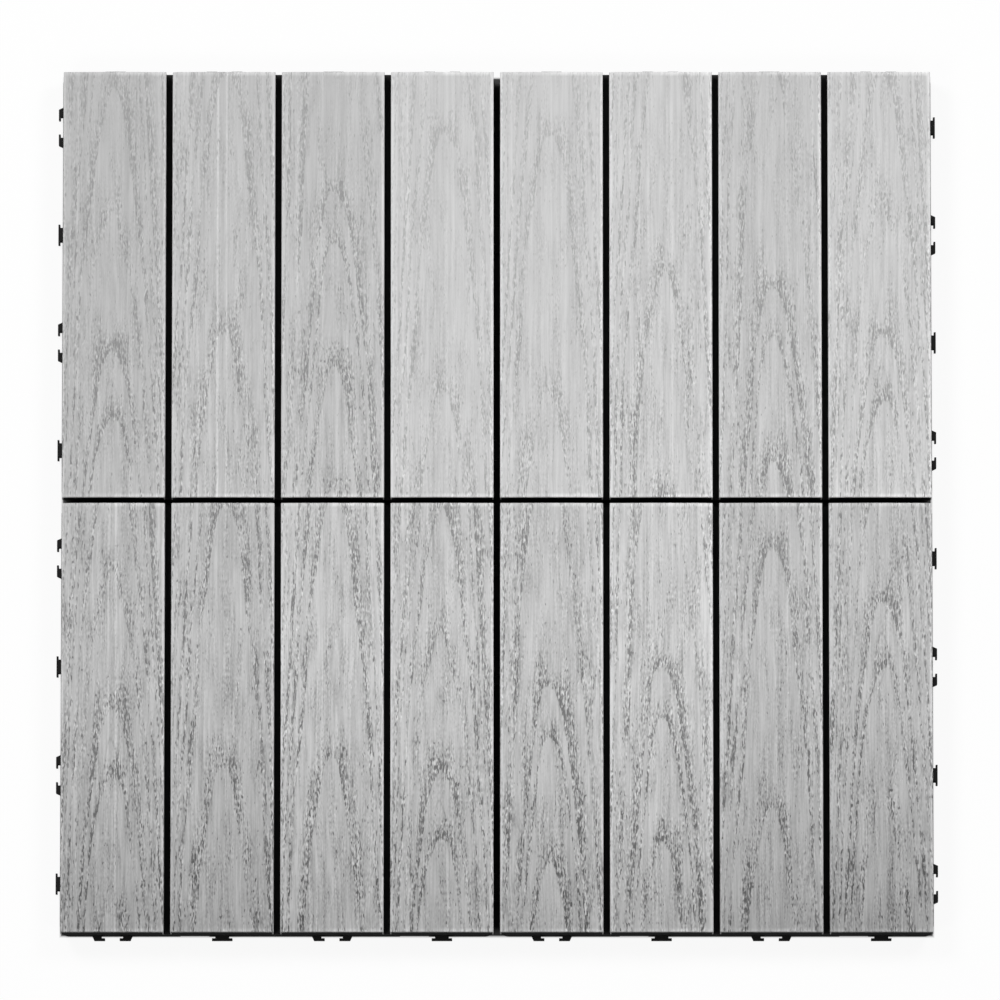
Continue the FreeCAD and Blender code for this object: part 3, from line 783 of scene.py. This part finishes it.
def make_base(node):
    """A base moulding with its edges slightly rounded, as a mould leaves them."""
    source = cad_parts[node].data
    moulding = bmesh.new()
    moulding.from_mesh(source)
    bmesh.ops.remove_doubles(moulding, verts=moulding.verts, dist=JOIN_WITHIN)
    bmesh.ops.dissolve_limit(moulding, angle_limit=FLAT_BELOW, verts=moulding.verts, edges=moulding.edges)
    sharp = [edge for edge in moulding.edges if edge.is_manifold and edge.calc_face_angle() > SHARP_FROM]
    sharp = [edge for edge in sharp if edge.calc_length() > SHORTEST_ROUNDED]
    bmesh.ops.bevel(
        moulding, geom=sharp, offset=BASE_EDGE, offset_type="OFFSET", segments=1, profile=0.5,
        affect="EDGES", clamp_overlap=True, material=-1,
    )
    mesh = mesh_of(moulding, node + "_moulding")
    mesh.materials.clear()
    mesh.materials.append(base_black)
    base = add_object(mesh.name, mesh)
    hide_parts(node)
    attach(base, "root")


# The floor: its size in metres, how far it lies under the tile, its colour in the open and, as painted shade,
# under the tile, and the share of it that glows white
FLOOR_SIZE = 30.0
FLOOR_DROP = 0.1 * MM
FLOOR_COLOUR = 0.93
FLOOR_PAINTED_SHADE = 0.05
FLOOR_GLOW = 0.91
# The mouldings' rims end this far from the tile's middle, and the floor in view turns pale within this blur.
# From about there a painted shadow round the tile fades over the first width, so the floor lights the tile
# more and more, and over the second its glow, kept back near the tile as a painted shadow, comes to gleam in
# what mirrors it
BASE_REACH = MODULE - 1.8 * MM
RIM_BLUR = 1 * MM
SHADOW_WIDTH = 40 * MM
GLEAM_WIDTH = 60 * MM
# The camera: its lean from upright, its distance from the aim and the width that fills the frame there, in
# metres, and its sensor's width in millimetres
CAMERA_TILT = math.radians(9.0)
CAMERA_DISTANCE = 11.15
FRAME_WIDTH = 0.6955
SENSOR_WIDTH = 36.0
CAMERA_AIM = Vector((0.0022, 0.0, SLAT_TOP))
# The surround's strength as a light, and the width of a softbox in metres
WORLD_LIGHT = 0.04
LAMP_SIZE = 1.6
# Each softbox: its place in metres and its power in watts
LAMPS = (
    ((-2.4, 2.2, 3.6), 122.0), ((2.4, 2.2, 3.6), 97.0), ((-2.4, -2.2, 3.6), 48.0), ((2.4, -2.2, 3.6), 32.0),
)


def make_floor_white():
    """Pale floor that stays near white in view, keeps the tile's faint shadow, and has painted shade under
    and round the tile.
    """
    material = bpy.data.materials.new("studio_floor")
    tree, output = nodes_of(material)
    surface = tree.nodes.new("ShaderNodeBsdfPrincipled")
    surface.inputs["Roughness"].default_value = 0.9
    glow = tree.nodes.new("ShaderNodeEmission")
    path = tree.nodes.new("ShaderNodeLightPath")
    seen = in_view(tree, path)
    axes = axes_of(tree)
    reach = math_node(
        tree, "MAXIMUM", math_node(tree, "ABSOLUTE", axes["X"]), math_node(tree, "ABSOLUTE", axes["Y"]),
    )
    # Painted shade: dark under the tile, and fading out over the first width round it
    painted_shadow_near_tile = remap(tree, reach, BASE_REACH, BASE_REACH + SHADOW_WIDTH, FLOOR_PAINTED_SHADE, FLOOR_COLOUR)
    open_floor = remap(tree, reach, BASE_REACH - RIM_BLUR, BASE_REACH + RIM_BLUR, 0.0, 1.0)
    viewed = math_node(tree, "MULTIPLY", math_node(tree, "MULTIPLY", seen, open_floor), FLOOR_COLOUR)
    shade = math_node(tree, "MAXIMUM", painted_shadow_near_tile, viewed)
    tree.links.new(grey(tree, shade), surface.inputs["Base Color"])
    outside = math_node(tree, "MULTIPLY", open_floor, FLOOR_GLOW)
    # In reflections the glow is kept back near the tile, a painted shadow
    well_outside = remap(tree, reach, MODULE, MODULE + GLEAM_WIDTH, 0.0, FLOOR_GLOW)
    direct = math_node(tree, "MULTIPLY", seen, outside)
    mirrored = math_node(tree, "MULTIPLY", path.outputs["Is Glossy Ray"], well_outside)
    mix = tree.nodes.new("ShaderNodeMixShader")
    tree.links.new(math_node(tree, "MAXIMUM", direct, mirrored), mix.inputs["Fac"])
    tree.links.new(surface.outputs[0], mix.inputs[1])
    tree.links.new(glow.outputs[0], mix.inputs[2])
    tree.links.new(mix.outputs[0], output.inputs["Surface"])
    return material


def make_floor():
    """The plain pale floor that the tile lies on."""
    plate = bmesh.new()
    bmesh.ops.create_grid(plate, x_segments=1, y_segments=1, size=FLOOR_SIZE / 2)
    bmesh.ops.transform(plate, verts=plate.verts, matrix=Matrix.Translation((0, 0, -FLOOR_DROP)))
    mesh = mesh_of(plate, "floor")
    mesh.materials.append(make_floor_white())
    floor = add_object("floor", mesh)


def make_light():
    """A surround that looks white and lights dimly, and four softboxes, stronger at the back."""
    world = bpy.data.worlds.new("studio")
    bpy.context.scene.world = world
    world.use_nodes = True
    tree = world.node_tree
    background = tree.nodes["Background"]
    path = tree.nodes.new("ShaderNodeLightPath")
    seen = in_view(tree, path)
    tree.links.new(remap(tree, seen, 0.0, 1.0, WORLD_LIGHT, 1.0), background.inputs["Strength"])
    background.inputs["Color"].default_value = (1, 1, 1, 1)
    for number, (place, power) in enumerate(LAMPS, start=1):
        data = bpy.data.lights.new(f"softbox_{number}", "AREA")
        data.shape = "SQUARE"
        data.size = LAMP_SIZE
        data.energy = power
        lamp = add_object(f"softbox_{number}", data)
        lamp.location = place
        lamp.rotation_euler = (-Vector(place)).to_track_quat("-Z", "Y").to_euler()


def make_camera():
    """A long lens above the tile, leaning a little towards its front edge."""
    data = bpy.data.cameras.new("camera")
    data.sensor_width = SENSOR_WIDTH
    data.lens = SENSOR_WIDTH * CAMERA_DISTANCE / FRAME_WIDTH
    data.clip_end = 100
    camera = add_object("camera", data)
    lean = Vector((0, -math.sin(CAMERA_TILT), math.cos(CAMERA_TILT)))
    camera.location = CAMERA_AIM + CAMERA_DISTANCE * lean
    camera.rotation_euler = (CAMERA_TILT, 0, 0)
    bpy.context.scene.camera = camera


streak_group = make_streak_group()
slat_face = make_slat_face()
slat_core = make_slat_core()
base_black = make_base_black()
screw_zinc = make_screw_zinc()

blank_slat = slat_blank()
for row_name, row_settings in (("back", BACK_SLATS), ("front", FRONT_SLATS)):
    for column, slat_settings in enumerate(row_settings, start=1):
        make_slat(blank_slat, f"slat_{row_name}_{column}", slat_settings, column)
bpy.data.meshes.remove(blank_slat)
for base_name in ("base_front_left", "base_front_right", "base_back_left", "base_back_right"):
    make_base(base_name)
make_screws()

make_floor()
make_light()
make_camera()
bpy.context.scene.view_settings.view_transform = "Standard"
